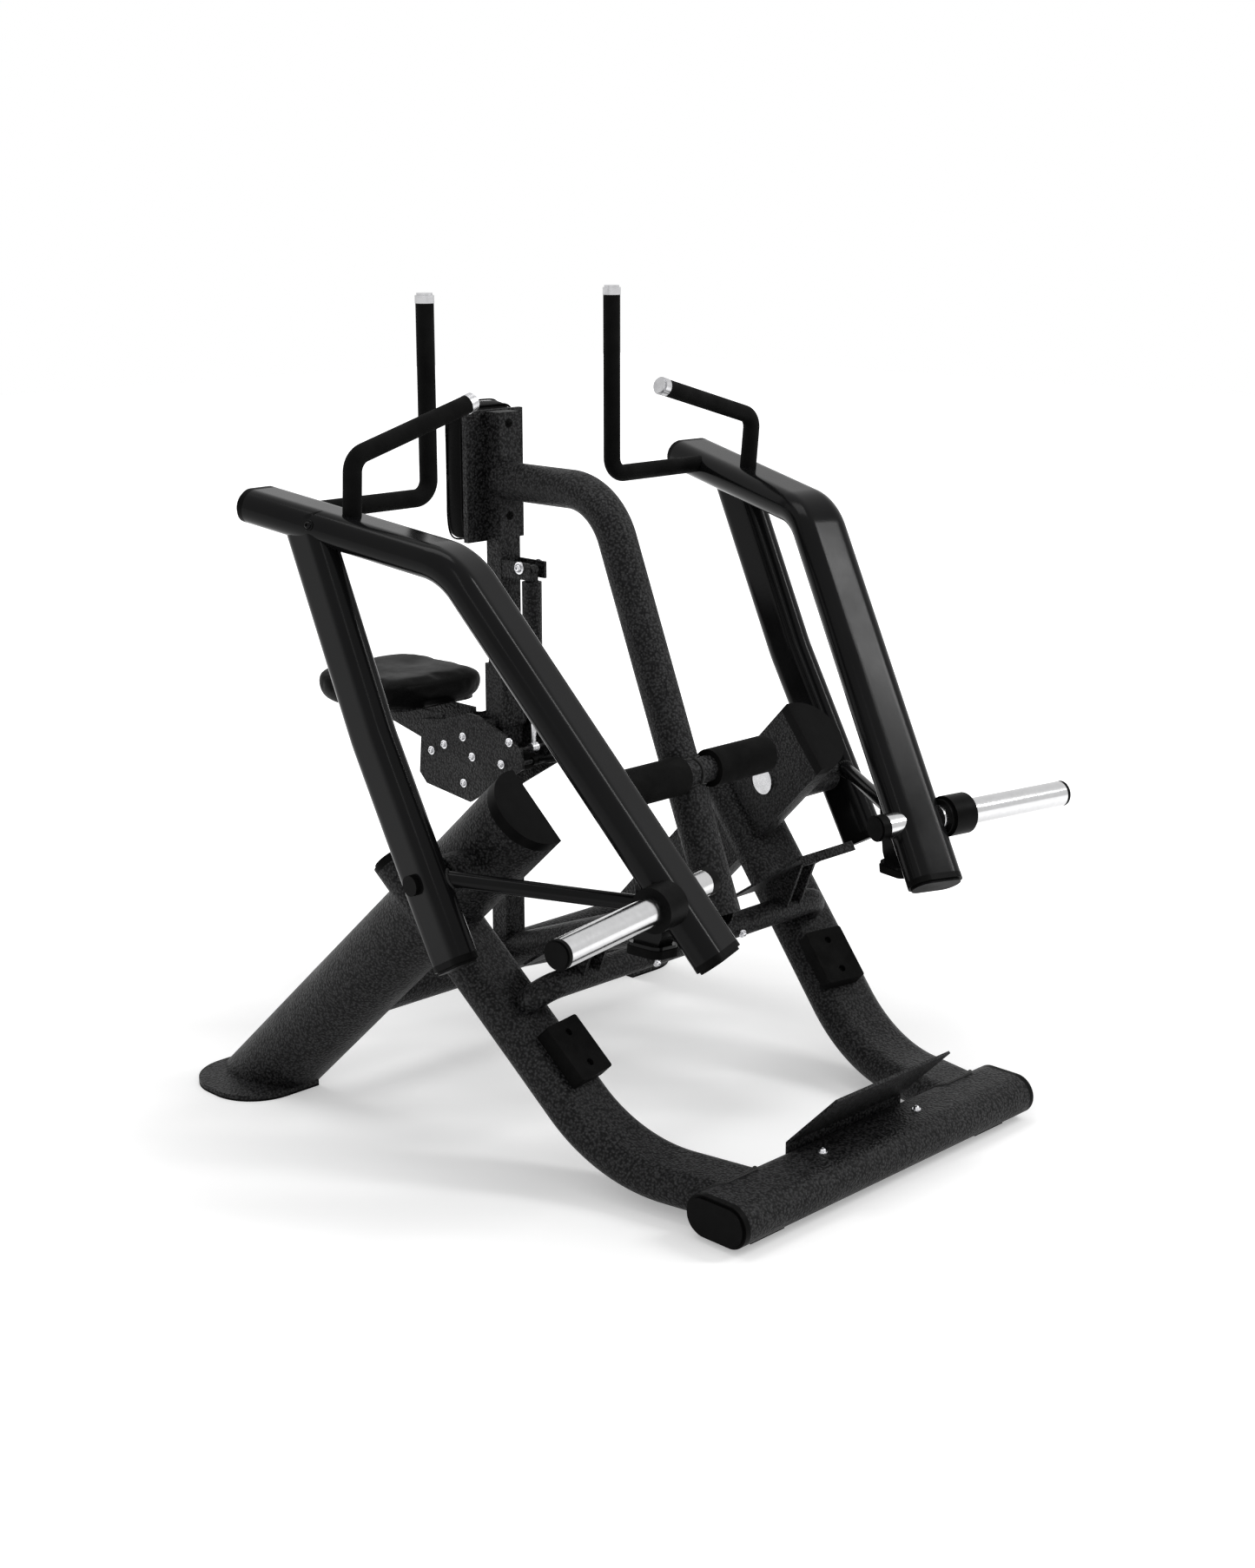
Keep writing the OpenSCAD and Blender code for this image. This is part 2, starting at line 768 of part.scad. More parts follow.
module brace(side) {
    color(arm_black) on_side(side) difference() {
        brace_solid();
        rear_tube_path() flat_oval(back_w, back_t);
        front_tube_path() arm_outline();
    }
}

module brace_left() { brace(-1); }
module brace_right() { brace(1); }

// ---- weight horns ---------------------------------------------------------

horn_in_x = 242;
horn_end_x = 658;

// place on the stub that comes out of the inner side of the arm
function on_stub(x) = on_horn(x) + [0, 20, -5];

module horn_solid() {
    rod(on_stub(horn_in_x), on_stub(horn_mid.x - 30), horn_neck_d);
    rod(on_horn(horn_mid.x + 30), on_horn(full_horn_x), horn_neck_d);
    rod(on_horn(full_horn_x), on_horn(horn_end_x), horn_d);
}

module horn(side) { color(bright) on_side(side) horn_solid(); }
module horn_left() { horn(-1); }
module horn_right() { horn(1); }

module horn_collar(side) {
    a = on_horn(collar_out_x);
    b = a - horn_dir * collar_len;
    color(cap_black) on_side(side) difference() {
        union() {
            rod(a, a - horn_dir * (collar_len - 8), collar_d);
            rod(a, b, collar_d - 12);
        }
        rod(a + horn_dir, b - horn_dir, horn_neck_d);
        front_tube_path() arm_outline();
    }
}

module horn_collar_left() { horn_collar(-1); }
module horn_collar_right() { horn_collar(1); }

module horn_caps(side) {
    color(cap_black) on_side(side) {
        rod(on_horn(horn_end_x), on_horn(horn_tip_x - 3), horn_d);
        rod(on_horn(horn_tip_x - 3), on_horn(horn_tip_x), horn_d - 6);
        rod(on_stub(horn_in_x), on_stub(horn_in_x - 18), horn_d);
        rod(on_stub(horn_in_x - 18), on_stub(horn_in_x - 21), horn_d - 6);
    }
}

module horn_caps_left() { horn_caps(-1); }
module horn_caps_right() { horn_caps(1); }

// ---- arm stops ------------------------------------------------------------

stop_angle = 45;
stop_w = 70;
stop_t = 14;
stop_shift = -10;

// frame on the underside of the stop, worked out from where it meets the block
module stop_frame() {
    translate([0, pivot_y, pivot_z]) rotate([-stop_angle, 0, 0]) translate([0, -pivot_y, -pivot_z])
        block_frame() translate([stop_shift, 0, block_h + skin]) children();
}

module stop_pad(side) {
    color(rubber_black) on_side(side) stop_frame() linear_extrude(stop_t)
        soft_corners(stop_w, stop_w, 16);
}

module stop_pad_left() { stop_pad(-1); }
module stop_pad_right() { stop_pad(1); }

module stop_bracket(side) {
    color(arm_black) on_side(side) difference() {
        stop_frame() {
            translate([0, 0, stop_t]) linear_extrude(6) soft_corners(stop_w - 4, stop_w - 4, 15);
            // block between the pad and the underside of the arm
            translate([-20, 0, 0]) rotate([90, 0, 90]) linear_extrude(40)
                polygon([[-24, stop_t + 5], [26, stop_t + 5], [30, stop_t + 22], [30, 140], [-30, 85],
                    [-30, stop_t + 22]]);
        }
        front_tube_path() arm_outline();
        horn_solid();
        brace_solid();
    }
}

module stop_bracket_left() { stop_bracket(-1); }
module stop_bracket_right() { stop_bracket(1); }

// ---- grips ----------------------------------------------------------------

tall_root = [on_top(tall_y).x, tall_y, tall_corner.z];
tall_tip = tall_corner + [0, 0, tall_len];
grip_out = grip_d + 2 * grip_wall;

module tall_path() { bent(tall_root, tall_corner, tall_tip, grip_bend) children(); }
module side_path() { bent(side_base, side_corner, side_tip, grip_bend) children(); }

module grip_bars(side) {
    color(arm_black) on_side(side) difference() {
        union() {
            tall_path() circle(d = grip_d);
            side_path() circle(d = grip_d);
        }
        front_tube_path() arm_outline();
        rear_tube_path() flat_oval(back_w, back_t);
    }
}

module grip_bars_left() { grip_bars(-1); }
module grip_bars_right() { grip_bars(1); }

module grip_ring() {
    difference() {
        circle(d = grip_out);
        circle(d = grip_d);
    }
}

module grip_sleeves(side) {
    color(rubber_black) on_side(side) difference() {
        union() {
            tall_path() grip_ring();
            side_path() grip_ring();
        }
        front_tube_path() arm_outline();
        rear_tube_path() flat_oval(back_w, back_t);
    }
}

module grip_sleeves_left() { grip_sleeves(-1); }
module grip_sleeves_right() { grip_sleeves(1); }

module grip_end(at, dir) {
    rod(at, at + dir * (bright_len - 4), grip_out + 2);
    rod(at + dir * (bright_len - 4), at + dir * bright_len, grip_out - 4);
}

module grip_ends(side) {
    color(bright) on_side(side) {
        grip_end(tall_tip, [0, 0, 1]);
        grip_end(side_tip, (side_tip - side_corner) / norm(side_tip - side_corner));
    }
}

module grip_ends_left() { grip_ends(-1); }
module grip_ends_right() { grip_ends(1); }

// ---- sliding seat ---------------------------------------------------------

side_x0 = 45;
side_t = 6;
wheel_d = 44;
axle_d = 12;
wheel_low = 590;
front_axle = [post_y - post_d / 2 - wheel_d / 2 - skin, wheel_low];
rear_axle = [post_y + post_d / 2 + wheel_d / 2 + skin, wheel_low];
lever_at = [843, 598];
rod_pin = [853, 622];
lever_pin_d = 8;

// side view of the carriage plates
module plate_outline() {
    polygon([[1127, 642], [1060, 651], [989, 675], [961, 675], [888, 652], [834, 625], [830, 590],
        [924, 533], [984, 496], [1116, 511], [1137, 531]]);
}

module across(x0, x1, at, d) {
    translate([x0, at[0], at[1]]) rotate([0, 90, 0]) cylinder(d = d, h = x1 - x0);
}

module seat_carriage() {
    color(frame_black) in_place() {
        for (s = [0, 1]) mirror([s, 0, 0]) translate([side_x0, 0, 0])
            rotate([90, 0, 90]) linear_extrude(side_t) plate_outline();
        for (w = [front_axle, rear_axle]) across(-side_x0 - side_t, side_x0 + side_t, w, axle_d);
        for (w = [lever_at, rod_pin]) across(-side_x0, side_x0, w, lever_pin_d);
        // floor and web between the side plates
        translate([-side_x0, 1010, 540]) cube([2 * side_x0, 100, 6]);
        translate([-side_x0, 1096, 546]) cube([2 * side_x0, 6, 90]);
        // bearer and board that carry the seat pad
        for (x = [-side_x0, side_x0 - 8]) translate([x, 1070, 0]) rotate([90, 0, 90]) linear_extrude(8)
            polygon([[0, 600], [60, 600], [300, seat_z - 14], [300, seat_z - 8], [0, seat_z - 8]]);
        translate([0, seat_y, seat_z - 8]) linear_extrude(8) soft_corners(seat_w - 80, seat_l - 52, 45);
        // square sleeve that runs on the post
        difference() {
            translate([-post_w / 2 - 5, post_y - post_d / 2 - 5, 656]) cube([post_w + 10, post_d + 10, 122]);
            translate([-post_w / 2 - skin, post_y - post_d / 2 - skin, 650])
                cube([post_w + 2 * skin, post_d + 2 * skin, 140]);
        }
        for (x = [-side_x0, post_w / 2 + 5]) translate([x, post_y - 12, 658]) cube([side_x0 - post_w / 2 - 5, 24, 10]);
    }
}

bolt_spots = [[1097, 582], [1058, 601], [1001, 626], [1001, 532]];

module carriage_bolts() {
    color(bright) both_sides() {
        for (b = bolt_spots) translate([side_x0 + side_t, b[0], b[1]]) rotate([0, 90, 0]) domed_bolt(13, 8);
        for (w = [front_axle, rear_axle]) translate([side_x0 + side_t, w[0], w[1]])
            rotate([0, 90, 0]) domed_bolt(15, 8);
        translate([side_x0 + side_t, rod_pin[0] + 14, rod_pin[1] + 8]) rotate([0, 90, 0]) domed_bolt(11, 7);
    }
}

module wheel(at) {
    difference() {
        across(-20, 20, at, wheel_d);
        across(-21, 21, at, axle_d + 2 * play);
    }
}

module front_wheel() { color(rubber_black) in_place() wheel(front_axle); }
module rear_wheel() { color(rubber_black) in_place() wheel(rear_axle); }

module seat_lever() {
    color(cap_black) in_place() difference() {
        union() {
            across(-14, 14, lever_at, 16);
            rod([0, lever_at[0], lever_at[1]], [0, lever_at[0] - 34, lever_at[1] + 8], 9);
            rod([0, lever_at[0] - 30, lever_at[1] + 7], [0, lever_at[0] - 62, lever_at[1] + 15], 15);
        }
        across(-20, 20, lever_at, lever_pin_d + 2 * play);
    }
}

spring_d = 38;
spring_rod_d = 10;
spring_y = 853;
spring_top = 968;
spring_low = 762;
rod_high = 850;

module gas_spring_body() {
    color(frame_black) in_place() difference() {
        union() {
            translate([0, spring_y, spring_low]) cylinder(d = spring_d, h = spring_top - 22 - spring_low);
            translate([-9, spring_y - 8, spring_top - 24]) cube([18, 16, 20]);
            across(-18, 18, [spring_y, spring_top], 12);
            across(-9, 9, [spring_y, spring_top], 20);
        }
        translate([0, spring_y, spring_low - 1]) cylinder(d = spring_rod_d + 2 * play, h = spring_top - 16 - spring_low);
    }
}

module gas_spring_rod() {
    color(bright) in_place() difference() {
        union() {
            translate([0, spring_y, rod_pin[1]]) cylinder(d = spring_rod_d, h = rod_high - rod_pin[1]);
            across(-8, 8, rod_pin, 18);
        }
        across(-20, 20, rod_pin, lever_pin_d);
    }
}

// ---- drawing --------------------------------------------------------------

base_bar();
base_caps();
rubber_feet();
front_leg_left();
front_leg_right();
front_leg_caps();
rear_leg_left();
rear_leg_right();
rear_leg_caps();
rear_foot_plates();
foot_bar();
foot_plates();
toe_guard();
frame_bolts();
bumper_blocks();
rear_cross_tube();
spine_tube();
mast_tube();
seat_post();
post_fittings();
chest_pad();
roller_bar();
roller_left();
roller_right();
badge_discs();
pivot_housings();
front_tube_left();
front_tube_right();
tube_caps_left();
tube_caps_right();
rear_tube_left();
rear_tube_right();
brace_left();
brace_right();
pivot_pin_left();
pivot_pin_right();
horn_left();
horn_right();
horn_collar_left();
horn_collar_right();
horn_caps_left();
horn_caps_right();
stop_bracket_left();
stop_bracket_right();
stop_pad_left();
stop_pad_right();
grip_bars_left();
grip_bars_right();
grip_sleeves_left();
grip_sleeves_right();
grip_ends_left();
grip_ends_right();
seat_carriage();
carriage_bolts();
front_wheel();
rear_wheel();
seat_pad();
seat_lever();
gas_spring_body();
gas_spring_rod();
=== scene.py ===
"""Plate loaded rowing machine: coats, upholstery, weld beads, bolts and the studio round them."""
import json
import math

import bpy
import numpy as np
from mathutils import Matrix


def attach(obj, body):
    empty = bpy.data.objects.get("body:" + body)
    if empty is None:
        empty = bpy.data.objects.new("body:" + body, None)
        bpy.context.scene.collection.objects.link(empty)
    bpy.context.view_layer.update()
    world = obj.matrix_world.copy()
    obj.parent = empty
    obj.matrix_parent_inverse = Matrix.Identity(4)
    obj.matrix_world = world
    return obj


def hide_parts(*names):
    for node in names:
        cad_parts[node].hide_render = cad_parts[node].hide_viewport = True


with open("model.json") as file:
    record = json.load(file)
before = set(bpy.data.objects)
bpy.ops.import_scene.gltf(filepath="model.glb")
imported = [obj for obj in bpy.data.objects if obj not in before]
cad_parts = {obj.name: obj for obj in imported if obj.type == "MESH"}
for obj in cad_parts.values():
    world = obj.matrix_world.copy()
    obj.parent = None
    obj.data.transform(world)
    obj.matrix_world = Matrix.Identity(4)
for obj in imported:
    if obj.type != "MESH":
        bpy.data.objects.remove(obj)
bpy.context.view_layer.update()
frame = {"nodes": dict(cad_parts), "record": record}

# the base bar stands this far in front of the middle of the footprint
BAR_TO_MIDDLE = 665.5

# the front legs run back at this slant, then rise; both lengths in metres
LEG_YAW = np.array([math.sin(math.radians(10.5)), math.cos(math.radians(10.5)), 0.0])
LEG_RISE = math.cos(math.radians(45)) * LEG_YAW + np.array([0.0, 0.0, math.sin(math.radians(45))])
LEG_RUN, LEG_UP = 0.281, 0.652

UP = np.array([0.0, 0.0, 1.0])
FRONT = np.array([0.0, -1.0, 0.0])
SIDES = ((-1, "left"), (1, "right"))


def spot(x, y, z):
    """A place measured in millimetres from the middle of the base bar, in metres in the shared frame."""
    return np.array([x, y - BAR_TO_MIDDLE, z]) / 1000


def unit(v):
    """The vector, or each row of vectors, drawn to a length of one."""
    return v / np.linalg.norm(v, axis=-1, keepdims=True)


def mirrored(v, side):
    """The vector as it is on the right side, or with its x turned round for the left (-1)."""
    return np.array([side * v[0], v[1], v[2]])


# ends and bends of the tubes, on the right side of the machine
ARM_TOP, ARM_BEND, ARM_LOW = spot(546, 950, 1135), spot(453, 541, 1066), spot(293, 103, 455)
BACK_TOP, BACK_BEND, BACK_LOW = spot(540, 834, 1120), spot(540, 668, 765), spot(540, 470, 416)
MAST_TOP, MAST_BEND, MAST_FOOT = spot(0, 932, 1132), spot(0, 655, 1132), spot(0, 356, 395)
LEG_START = spot(292, 0, 49.5)
REAR_FOOT, REAR_TOP = spot(441, 1117, 12), spot(351, 466, 649)

# widths and thicknesses of the tubes in millimetres, and the roll of the long arm tube in degrees
ARM_WIDE, ARM_THICK, ARM_ROLL = 110, 60, 8
BACK_WIDE, BACK_THICK = 96, 54
LEG_WIDE, LEG_THICK = 134, 66
BASE_WIDE, BASE_THICK = 132, 75
MAST_ACROSS, ROLLER_BAR_ACROSS, REAR_CROSS_ACROSS, BRACE_ACROSS = 72, 48, 76, 28

# middle of the boards that carry the seat and the chest pad
SEAT_BOARD = spot(0, 1252, 668)
CHEST_BOARD = spot(0, 964, 1146)


# ---- studio ----------------------------------------------------------------

def set_camera():
    """The photographer's place, from the lines of the machine itself."""
    lens = bpy.data.cameras.new("front_left_camera")
    lens.lens = 51.7165
    lens.sensor_width = 36.0
    camera = bpy.data.objects.new("front_left_camera", lens)
    camera.location = (-2.877808, -2.929078, 1.671114)
    down, right = 14.842849, 45.175849
    camera.rotation_euler = (math.radians(90 - down), 0.0, math.radians(-right))
    bpy.context.scene.collection.objects.link(camera)
    bpy.context.scene.camera = camera


def soft_box(name, place, aim, wide, high, watts):
    """Rectangular lamp of this width and height in metres, turned towards the aim."""
    light = bpy.data.lights.new(name, "AREA")
    light.shape = "RECTANGLE"
    light.size = wide
    light.size_y = high
    light.energy = watts
    lamp = bpy.data.objects.new(name, light)
    lamp.location = place
    z = unit(np.array(place, float) - np.array(aim, float))
    x = unit(np.cross(UP, z))
    matrix = np.eye(4)
    matrix[:3, :3] = np.stack([x, np.cross(z, x), z], axis=1)
    matrix[:3, 3] = place
    lamp.matrix_world = Matrix(matrix.tolist())
    bpy.context.scene.collection.objects.link(lamp)


def white_where_seen(nodes, links):
    """Share that is 1 for camera, glossy and transmission rays, and 0 for the rest."""
    path = nodes.new("ShaderNodeLightPath")
    first = nodes.new("ShaderNodeMath")
    first.operation = "MAXIMUM"
    links.new(path.outputs["Is Camera Ray"], first.inputs[0])
    links.new(path.outputs["Is Glossy Ray"], first.inputs[1])
    second = nodes.new("ShaderNodeMath")
    second.operation = "MAXIMUM"
    links.new(first.outputs[0], second.inputs[0])
    links.new(path.outputs["Is Transmission Ray"], second.inputs[1])
    return second.outputs[0]


def set_world():
    """White backdrop, and a plain pale sky that lights the matt surfaces."""
    world = bpy.data.worlds.new("pale_studio")
    world.use_nodes = True
    nodes, links = world.node_tree.nodes, world.node_tree.links
    nodes.clear()
    sky = nodes.new("ShaderNodeBackground")
    sky.inputs["Color"].default_value = (1, 1, 1, 1)
    sky.inputs["Strength"].default_value = 0.55
    paper = nodes.new("ShaderNodeBackground")
    paper.inputs["Color"].default_value = (1, 1, 1, 1)
    paper.inputs["Strength"].default_value = 1.0
    mix = nodes.new("ShaderNodeMixShader")
    out = nodes.new("ShaderNodeOutputWorld")
    links.new(white_where_seen(nodes, links), mix.inputs[0])
    links.new(sky.outputs[0], mix.inputs[1])
    links.new(paper.outputs[0], mix.inputs[2])
    links.new(mix.outputs[0], out.inputs["Surface"])
    bpy.context.scene.world = world


def lay_floor():
    """Pale floor that keeps the machine's shadow and fades into the white backdrop."""
    half = 14.0
    mesh = bpy.data.meshes.new("studio_floor")
    corners = [(-half, -half, 0), (half, -half, 0), (half, half, 0), (-half, half, 0)]
    mesh.from_pydata(corners, [], [(0, 1, 2, 3)])
    floor = bpy.data.objects.new("studio_floor", mesh)
    bpy.context.scene.collection.objects.link(floor)
    finish = bpy.data.materials.new("pale_floor")
    finish.use_nodes = True
    nodes, links = finish.node_tree.nodes, finish.node_tree.links
    nodes.clear()
    paint = nodes.new("ShaderNodeBsdfDiffuse")
    paint.inputs["Color"].default_value = (0.86, 0.86, 0.86, 1)
    glow = nodes.new("ShaderNodeEmission")
    glow.inputs["Color"].default_value = (1, 1, 1, 1)
    # the glow rises from 0.3 under the machine to full white 1.9 m out
    away = nodes.new("ShaderNodeVectorMath")
    away.operation = "LENGTH"
    links.new(nodes.new("ShaderNodeTexCoord").outputs["Object"], away.inputs[0])
    rise = nodes.new("ShaderNodeMapRange")
    rise.interpolation_type = "SMOOTHSTEP"
    rise.inputs["From Min"].default_value = 0.6
    rise.inputs["From Max"].default_value = 1.9
    rise.inputs["To Min"].default_value = 0.3
    rise.inputs["To Max"].default_value = 1.0
    links.new(away.outputs["Value"], rise.inputs["Value"])
    lift = nodes.new("ShaderNodeMath")
    lift.operation = "MULTIPLY"
    both = nodes.new("ShaderNodeAddShader")
    out = nodes.new("ShaderNodeOutputMaterial")
    links.new(white_where_seen(nodes, links), lift.inputs[0])
    links.new(rise.outputs["Result"], lift.inputs[1])
    links.new(lift.outputs[0], glow.inputs["Strength"])
    links.new(paint.outputs[0], both.inputs[0])
    links.new(glow.outputs[0], both.inputs[1])
    links.new(both.outputs[0], out.inputs["Surface"])
    mesh.materials.append(finish)


# ---- finishes --------------------------------------------------------------

class Finish:
    """A material in the making: its shader, and one coordinate for all its patterns."""

    def __init__(self, name, colour, roughness, metallic=0.0, specular=0.5):
        self.material = bpy.data.materials.new(name)
        self.material.use_nodes = True
        self.nodes = self.material.node_tree.nodes
        self.links = self.material.node_tree.links
        self.shader = self.nodes["Principled BSDF"]
        self.shader.inputs["Base Color"].default_value = (*colour, 1)
        self.shader.inputs["Roughness"].default_value = roughness
        self.shader.inputs["Metallic"].default_value = metallic
        self.shader.inputs["Specular IOR Level"].default_value = specular
        self.place = self.nodes.new("ShaderNodeTexCoord").outputs["Object"]
        self.normal = None

    def stretched(self, x, y, z):
        """The coordinate drawn out along one direction, for brushed and turned metal."""
        mapping = self.nodes.new("ShaderNodeMapping")
        mapping.inputs["Scale"].default_value = (x, y, z)
        self.links.new(self.place, mapping.inputs["Vector"])
        return mapping.outputs[0]

    def cloud(self, scale, detail=3.0, rough=0.55, along=None):
        noise = self.nodes.new("ShaderNodeTexNoise")
        noise.inputs["Scale"].default_value = scale
        noise.inputs["Detail"].default_value = detail
        noise.inputs["Roughness"].default_value = rough
        self.links.new(self.place if along is None else along, noise.inputs["Vector"])
        return noise.outputs["Fac"]

    def cells(self, scale, feature="F1"):
        cell = self.nodes.new("ShaderNodeTexVoronoi")
        cell.feature = feature
        cell.inputs["Scale"].default_value = scale
        self.links.new(self.place, cell.inputs["Vector"])
        return cell.outputs["Distance"]

    def ranged(self, value, low, high, start=0.3, stop=0.7):
        """value, from start to stop, spread from low to high."""
        spread = self.nodes.new("ShaderNodeMapRange")
        spread.inputs["From Min"].default_value = start
        spread.inputs["From Max"].default_value = stop
        spread.inputs["To Min"].default_value = low
        spread.inputs["To Max"].default_value = high
        self.links.new(value, spread.inputs["Value"])
        return spread.outputs["Result"]

    def roughen(self, value, low, high, start=0.3, stop=0.7):
        self.links.new(self.ranged(value, low, high, start, stop), self.shader.inputs["Roughness"])

    def tint(self, value, dark, light, start=0.3, stop=0.7):
        mix = self.nodes.new("ShaderNodeMix")
        mix.data_type = "RGBA"
        mix.inputs["A"].default_value = (*dark, 1)
        mix.inputs["B"].default_value = (*light, 1)
        self.links.new(self.ranged(value, 0.0, 1.0, start, stop), mix.inputs["Factor"])
        self.links.new(mix.outputs["Result"], self.shader.inputs["Base Color"])

    def relief(self, height, depth, strength=1.0):
        bump = self.nodes.new("ShaderNodeBump")
        bump.inputs["Strength"].default_value = strength
        bump.inputs["Distance"].default_value = depth
        self.links.new(height, bump.inputs["Height"])
        if self.normal is not None:
            self.links.new(self.normal, bump.inputs["Normal"])
        self.normal = bump.outputs["Normal"]
        self.links.new(self.normal, self.shader.inputs["Normal"])


def wrinkle_coat():
    """Satin black powder coat with a coarse wrinkle: painted highlight greys the middles of its cells and
    painted shade blackens their edges.
    """
    f = Finish("wrinkle_powder_coat", (0.014, 0.014, 0.0145), 0.5, specular=0.11)
    wrinkle = f.cells(240, "SMOOTH_F1")
    # painted highlight and painted shade on the wrinkle: grey in the middle of each cell, black at its edges
    f.tint(wrinkle, (0.046, 0.046, 0.047), (0.003, 0.003, 0.0032), 0.12, 0.55)
    f.roughen(f.cloud(9, 4), 0.40, 0.56)
    f.relief(wrinkle, 0.0022, 0.9)
    f.relief(f.cloud(900, 3, 0.6), 0.00025, 0.5)
    return f.material


def gloss_coat():
    """Smooth gloss black paint with a slight orange peel and faint hand marks."""
    f = Finish("gloss_arm_paint", (0.005, 0.005, 0.0052), 0.17, specular=0.08)
    f.roughen(f.cloud(7, 5, 0.62), 0.13, 0.23)
    f.tint(f.cloud(3.5, 3), (0.004, 0.004, 0.0042), (0.0065, 0.0065, 0.0068))
    f.relief(f.cloud(210, 2), 0.00010, 0.3)
    return f.material


def moulded_plastic():
    """Black cap plastic with a fine spark grain."""
    f = Finish("moulded_cap_plastic", (0.003, 0.003, 0.003), 0.42, specular=0.035)
    f.roughen(f.cloud(14, 4), 0.36, 0.5)
    f.tint(f.cloud(40, 3), (0.0022, 0.0022, 0.0022), (0.004, 0.004, 0.004))
    f.relief(f.cloud(1300, 2), 0.00015, 0.5)
    return f.material


def black_rubber():
    """Matt rubber with a fine pitted skin, greyer where hands and feet rub."""
    f = Finish("pitted_rubber", (0.004, 0.004, 0.004), 0.7, specular=0.04)
    f.tint(f.cloud(11, 5, 0.6), (0.003, 0.003, 0.003), (0.0062, 0.0062, 0.006))
    f.roughen(f.cloud(30, 3), 0.6, 0.82)
    f.relief(f.cells(780), 0.00035, 0.5)
    return f.material


def grained_vinyl():
    """Black upholstery vinyl: pebble grain, with long soft creases under it."""
    f = Finish("pebble_grain_vinyl", (0.004, 0.004, 0.004), 0.42, specular=0.03)
    pebble = f.cells(520, "SMOOTH_F1")
    f.roughen(f.cloud(16, 4), 0.34, 0.5)
    f.tint(pebble, (0.0045, 0.0045, 0.0045), (0.002, 0.002, 0.002), 0.1, 0.7)
    f.relief(f.cloud(18, 3), 0.0016, 0.25)
    f.relief(pebble, 0.0005, 0.55)
    return f.material


def zinc_steel():
    """Zinc plated bolts with a dull bloom."""
    f = Finish("zinc_plated_steel", (0.72, 0.72, 0.74), 0.3, 1.0)
    f.roughen(f.cloud(300, 4), 0.2, 0.42)
    f.tint(f.cloud(160, 3), (0.58, 0.58, 0.6), (0.82, 0.82, 0.84))
    f.relief(f.cloud(1500, 2), 0.00008, 0.4)
    return f.material


def satin_chrome():
    """Satin plating of the horns, with faint marks round them."""
    f = Finish("satin_chrome", (0.62, 0.62, 0.625), 0.26, 1.0)
    rings = f.cloud(14, 4, 0.6, f.stretched(60, 1.2, 1.2))
    f.roughen(rings, 0.12, 0.2)
    f.tint(f.cloud(90, 3), (0.54, 0.54, 0.545), (0.585, 0.585, 0.59))
    f.relief(rings, 0.00001, 0.1)
    return f.material


def turned_aluminium():
    """Turned aluminium with fine tool marks."""
    f = Finish("turned_aluminium", (0.6, 0.6, 0.61), 0.3, 1.0)
    marks = f.cloud(30, 4, 0.6, f.stretched(9, 9, 30))
    f.roughen(marks, 0.2, 0.38)
    f.tint(f.cloud(60, 3), (0.44, 0.44, 0.45), (0.56, 0.56, 0.57))
    f.relief(marks, 0.00008, 0.4)
    return f.material


def weld_coat():
    """The powder coat where it has run smooth over a weld."""
    f = Finish("coated_weld", (0.011, 0.011, 0.0115), 0.42, specular=0.18)
    f.roughen(f.cloud(60, 3), 0.34, 0.52)
    f.tint(f.cloud(120, 3), (0.008, 0.008, 0.008), (0.014, 0.014, 0.014))
    f.relief(f.cloud(500, 2), 0.0003, 0.4)
    return f.material


# ---- working shapes --------------------------------------------------------

def skin_grid(name, points, finish, wrap_u=True, wrap_v=False, closed_ends=False):
    """Mesh over points[i, j]: i runs along the shape and j round it. Each four neighbours
    make one face; wrapping joins the last row to the first, and closed ends get a fan to their middle."""
    rows, cols = points.shape[:2]
    i = np.arange(rows if wrap_v else rows - 1)[:, None]
    j = np.arange(cols if wrap_u else cols - 1)[None, :]
    a = i * cols + j
    b = i * cols + (j + 1) % cols
    c = (i + 1) % rows * cols + (j + 1) % cols
    d = (i + 1) % rows * cols + j
    quads = np.stack(np.broadcast_arrays(a, b, c, d), axis=-1).reshape(-1, 4)
    verts = points.reshape(-1, 3)
    faces = quads.tolist()
    if closed_ends:
        ring = np.arange(cols)
        low, high = len(verts), len(verts) + 1
        verts = np.vstack([verts, points[0].mean(0), points[-1].mean(0)])
        last = (rows - 1) * cols
        faces += np.stack([np.roll(ring, -1), ring, np.full(cols, low)], 1).tolist()
        faces += np.stack([last + ring, last + np.roll(ring, -1), np.full(cols, high)], 1).tolist()
    mesh = bpy.data.meshes.new(name)
    mesh.from_pydata(verts.tolist(), [], faces)
    mesh.shade_smooth()
    mesh.materials.append(finish)
    piece = bpy.data.objects.new(name, mesh)
    bpy.context.scene.collection.objects.link(piece)
    return piece


def turned_out(piece):
    """Faces of a closed form pointed outwards, from the sign of its volume."""
    mesh = piece.data
    co = np.empty(len(mesh.vertices) * 3)
    mesh.vertices.foreach_get("co", co)
    co = co.reshape(-1, 3) - co.reshape(-1, 3).mean(0)
    mesh.calc_loop_triangles()
    tri = np.empty(len(mesh.loop_triangles) * 3, np.int32)
    mesh.loop_triangles.foreach_get("vertices", tri)
    a, b, c = co[tri.reshape(-1, 3)].transpose(1, 0, 2)
    if np.einsum("ij,ij->i", a, np.cross(b, c)).sum() < 0:
        mesh.flip_normals()
    return piece


def settled(piece, body, slot, *nodes):
    """The piece in its place: on its body, instead of the solids it stands for; its slot is not used."""
    turned_out(piece)
    if nodes:
        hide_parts(*nodes)
    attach(piece, body)
    return piece


